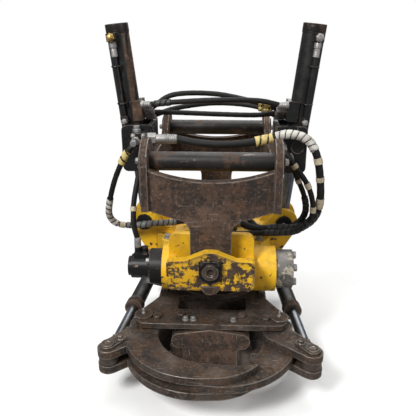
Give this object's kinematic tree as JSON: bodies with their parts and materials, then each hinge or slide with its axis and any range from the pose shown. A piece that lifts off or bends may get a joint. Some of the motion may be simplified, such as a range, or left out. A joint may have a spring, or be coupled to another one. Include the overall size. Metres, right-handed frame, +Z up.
{
  "type": "excavator tilt rotator",
  "caption": "Hydraulic tilting and rotating excavator head with upper pin hitch, side tilt cylinders, worm drive, two-finger gripper and lower quick hitch",
  "frame": {"origin": "on the rotation axis, on the underside of the lower hitch", "axes": "+Z up along the rotation axis, -Y to the front where the gripper is, +X along the hitch pins"},
  "size_m": [0.5782, 0.7507, 0.8944],
  "materials": {
    "rusty_steel": "bare steel with worn paint and brown surface rust",
    "worn_steel": "dark worn steel, bright along the rubbed edges",
    "bronze": "machined bronze",
    "black_paint": "satin black paint, scuffed",
    "bare_steel": "bare machined steel",
    "hose_rubber": "black hose rubber",
    "yellow_paint": "yellow machine paint, worn through to brown steel",
    "rod_chrome": "chromed rod"
  },
  "bodies": {
    "hanger": {"hanger_side_left": "rusty_steel", "hanger_side_right": "rusty_steel", "hanger_front_plate": "rusty_steel", "hanger_rear_plate": "rusty_steel", "hitch_pin_front": "worn_steel", "hitch_pin_rear": "worn_steel", "tilt_bushes": "bronze", "trunnion_bracket_left": "black_paint", "trunnion_bracket_right": "black_paint", "valve_block": "black_paint", "hose_fittings": "bare_steel", "crossover_hoses": "hose_rubber", "supply_hose": "hose_rubber", "left_hoses": "hose_rubber", "right_swivel_hoses": "hose_rubber"},
    "tilt_body": {"tilt_front_plate": "yellow_paint", "tilt_rear_plate": "yellow_paint", "gear_housing": "yellow_paint", "cylinder_ear_left": "yellow_paint", "cylinder_ear_right": "yellow_paint", "ear_pins": "black_paint", "tilt_pins": "worn_steel", "pin_retainers": "black_paint", "grease_plugs": "rusty_steel", "worm_bearings": "bare_steel", "worm_cover": "bare_steel", "cover_bolts": "bare_steel", "motor_flange": "black_paint", "drive_motor": "black_paint", "motor_bolts": "bare_steel", "slew_bearing": "bare_steel", "slew_seal": "hose_rubber", "hydraulic_swivel": "black_paint"},
    "worm": {"worm_shaft": "bare_steel"},
    "left_tilt_barrel": {"tilt_barrel_left": "black_paint"},
    "left_tilt_rod": {"tilt_rod_left": "rod_chrome"},
    "right_tilt_barrel": {"tilt_barrel_right": "black_paint"},
    "right_tilt_rod": {"tilt_rod_right": "rod_chrome"},
    "rotor": {"worm_wheel": "bronze", "rotor_hub": "worn_steel", "cassette_top_plate": "worn_steel", "cassette_bottom_plate": "worn_steel", "cassette_walls": "worn_steel", "cassette_bolts": "bare_steel", "finger_pivot_pins": "worn_steel", "grip_rear_pins": "bare_steel", "hitch_nose": "rusty_steel", "front_hook": "worn_steel", "hitch_cheeks": "worn_steel", "hitch_belly": "worn_steel", "lock_cylinder": "black_paint"},
    "lock": {"lock_wedge": "worn_steel"},
    "left_finger": {"finger_left": "worn_steel", "lug_pins_left": "bare_steel"},
    "right_finger": {"finger_right": "worn_steel", "lug_pins_right": "bare_steel"},
    "left_grip_barrel": {"grip_barrel_left": "black_paint"},
    "left_grip_rod": {"grip_rod_left": "rod_chrome"},
    "right_grip_barrel": {"grip_barrel_right": "black_paint"},
    "right_grip_rod": {"grip_rod_right": "rod_chrome"}
  },
  "joints": [
    {"name": "tilt", "type": "hinge", "parent": "hanger", "child": "tilt_body", "pos_m": [0, 0, 0.335], "axis": [0, -1, 0], "range_deg": [-30, 30], "deforming": ["crossover_hoses", "supply_hose", "left_hoses", "right_swivel_hoses"]},
    {"name": "rotate", "type": "hinge", "parent": "tilt_body", "child": "rotor", "pos_m": [0, 0, 0.25], "axis": [0, 0, 1], "continuous": true},
    {"name": "worm_spin", "type": "hinge", "parent": "tilt_body", "child": "worm", "pos_m": [0, -0.174, 0.288], "axis": [1, 0, 0], "continuous": true},
    {"name": "left_barrel_swing", "type": "hinge", "parent": "hanger", "child": "left_tilt_barrel", "pos_m": [-0.221, 0, 0.585], "axis": [0, 1, 0], "range_deg": [-6.5, 6.5]},
    {"name": "left_rod_stroke", "type": "slide", "parent": "left_tilt_barrel", "child": "left_tilt_rod", "axis": [-0.1075, 0, 0.9942], "range_m": [-0.093, 0.093]},
    {"name": "right_barrel_swing", "type": "hinge", "parent": "hanger", "child": "right_tilt_barrel", "pos_m": [0.221, 0, 0.585], "axis": [0, 1, 0], "range_deg": [-6.5, 6.5]},
    {"name": "right_rod_stroke", "type": "slide", "parent": "right_tilt_barrel", "child": "right_tilt_rod", "axis": [0.1075, 0, 0.9942], "range_m": [-0.093, 0.093]},
    {"name": "grip", "type": "hinge", "parent": "rotor", "child": "left_finger", "pos_m": [-0.177, -0.229, 0.119], "axis": [0, 0, -1], "range_deg": [0, 60]},
    {"name": "right_finger_swing", "type": "hinge", "parent": "rotor", "child": "right_finger", "pos_m": [0.177, -0.229, 0.119], "axis": [0, 0, 1], "range_deg": [0, 60.5]},
    {"name": "left_grip_barrel_swing", "type": "hinge", "parent": "rotor", "child": "left_grip_barrel", "pos_m": [-0.206, 0.15, 0.119], "axis": [0, 0, -1], "range_deg": [-1, 13]},
    {"name": "left_grip_rod_stroke", "type": "slide", "parent": "left_grip_barrel", "child": "left_grip_rod", "axis": [-0.0856, -0.9963, 0], "range_m": [-0.108, 0.001]},
    {"name": "right_grip_barrel_swing", "type": "hinge", "parent": "rotor", "child": "right_grip_barrel", "pos_m": [0.206, 0.15, 0.119], "axis": [0, 0, 1], "range_deg": [-1, 13]},
    {"name": "right_grip_rod_stroke", "type": "slide", "parent": "right_grip_barrel", "child": "right_grip_rod", "axis": [0.0856, -0.9963, 0], "range_m": [-0.108, 0.001]},
    {"name": "lock_slide", "type": "slide", "parent": "rotor", "child": "lock", "axis": [0, 1, 0], "range_m": [-0.045, 0]}
  ],
  "couplings": [
    {"joint": "worm_spin", "follows": "rotate", "ratio": 36},
    {"joint": "left_barrel_swing", "follows": "tilt", "ratio": 0.2},
    {"joint": "left_rod_stroke", "follows": "tilt", "m_per_rad": -0.175},
    {"joint": "right_barrel_swing", "follows": "tilt", "ratio": 0.2},
    {"joint": "right_rod_stroke", "follows": "tilt", "m_per_rad": 0.175},
    {"joint": "right_finger_swing", "follows": "grip", "ratio": 1},
    {"joint": "left_grip_barrel_swing", "follows": "grip", "ratio": 0.19},
    {"joint": "left_grip_rod_stroke", "follows": "grip", "m_per_rad": -0.095},
    {"joint": "right_grip_barrel_swing", "follows": "grip", "ratio": 0.19},
    {"joint": "right_grip_rod_stroke", "follows": "grip", "m_per_rad": -0.095}
  ]
}
